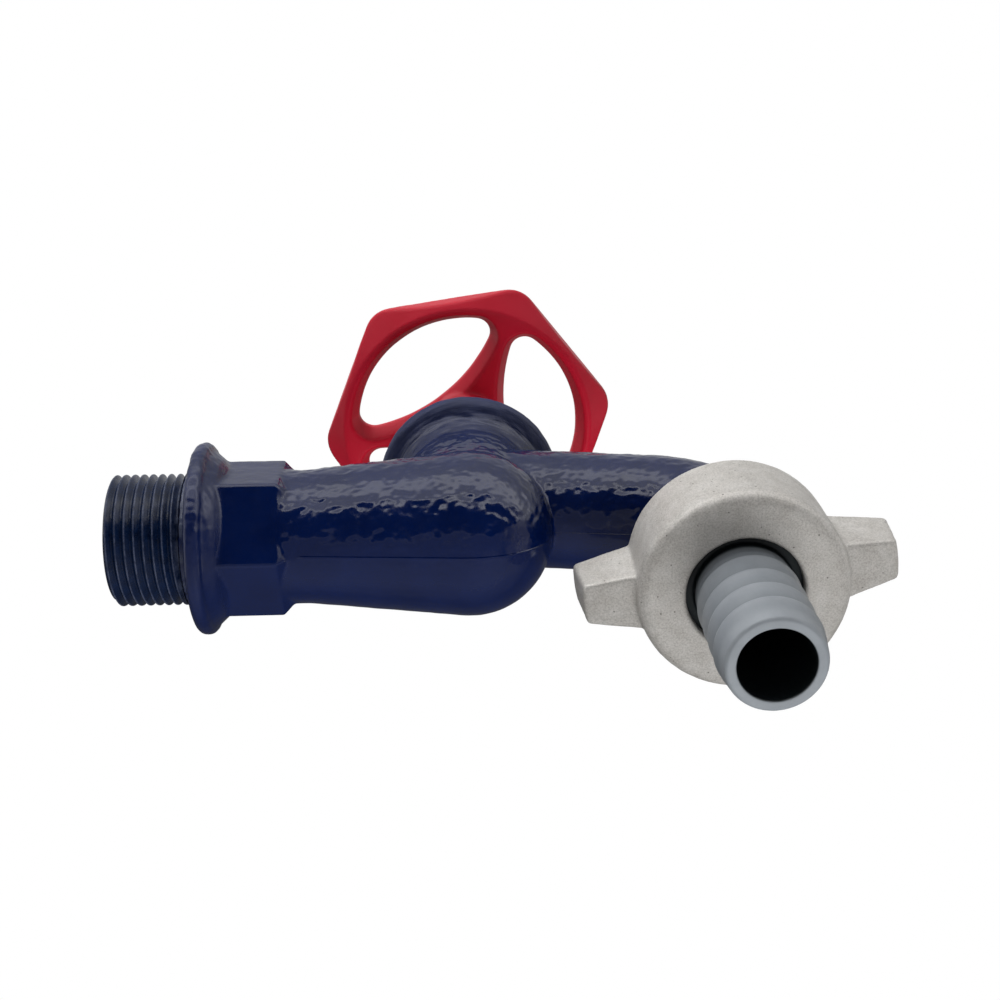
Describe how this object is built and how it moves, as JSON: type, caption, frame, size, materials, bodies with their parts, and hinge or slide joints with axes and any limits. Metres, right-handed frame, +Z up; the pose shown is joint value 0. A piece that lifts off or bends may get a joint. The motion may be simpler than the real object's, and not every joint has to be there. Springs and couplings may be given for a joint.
{
  "type": "double service tap",
  "caption": "Wall-mounted garden tap with a threaded inlet, rising spindle, six-cornered red handle and a wing-nut hose tail under its spout.",
  "frame": {"origin": "centre of the inlet flange's wall-side face, on the inlet axis", "axes": "+X from the wall along the inlet axis towards the spout, +Z up the spindle towards the handle"},
  "size_m": [0.1516, 0.0666, 0.1322],
  "materials": {
    "body_paint": "thick gloss navy-blue enamel over a rough casting",
    "handle_paint": "gloss red enamel",
    "cast_aluminium": "raw grainy casting",
    "grey_plastic": "satin moulded",
    "brass": "machined",
    "steel": "zinc plated",
    "rubber": "plain black",
    "fibre": "pressed red fibre",
    "packing": "graphited yarn"
  },
  "bodies": {
    "valve_body": {"tap_body": "body_paint", "seat_ring": "brass", "bonnet_gasket": "fibre", "bonnet": "brass", "gland_washer": "brass", "packing_ring_1": "packing", "packing_ring_2": "packing", "packing_ring_3": "packing", "gland_follower": "brass", "gland_nut": "brass"},
    "valve_plate": {"jumper": "brass", "tap_washer": "rubber", "washer_nut": "brass"},
    "spindle_and_handle": {"spindle": "brass", "handle": "handle_paint", "screw_washer": "steel", "handle_screw": "steel"},
    "outlet_seal": {"outlet_gasket": "rubber"},
    "tail": {"hose_tail": "grey_plastic"},
    "union_nut": {"wing_nut": "cast_aluminium"}
  },
  "joints": [
    {"name": "plate_rise", "type": "slide", "parent": "valve_body", "child": "valve_plate", "axis": [0, 0, 1], "range_m": [0, 0.0075]},
    {"name": "spindle_turn", "type": "hinge", "parent": "valve_plate", "child": "spindle_and_handle", "pos_m": [0.0545, 0, 0.05], "axis": [0, 0, 1], "range_deg": [0, 900]},
    {"name": "union_drop", "type": "slide", "parent": "valve_body", "child": "outlet_seal", "axis": [0, 0, -1], "range_m": [0, 0.00924]},
    {"name": "nut_turn", "type": "hinge", "parent": "outlet_seal", "child": "union_nut", "pos_m": [0.1046, 0, -0.022], "axis": [0, 0, -1], "range_deg": [0, 1440]},
    {"name": "tail_swivel", "type": "hinge", "parent": "outlet_seal", "child": "tail", "pos_m": [0.1046, 0, -0.04], "axis": [0, 0, -1], "continuous": true}
  ],
  "couplings": [
    {"joint": "plate_rise", "follows": "spindle_turn", "m_per_rad": 0.00047746},
    {"joint": "union_drop", "follows": "nut_turn", "m_per_rad": 0.00036749}
  ]
}
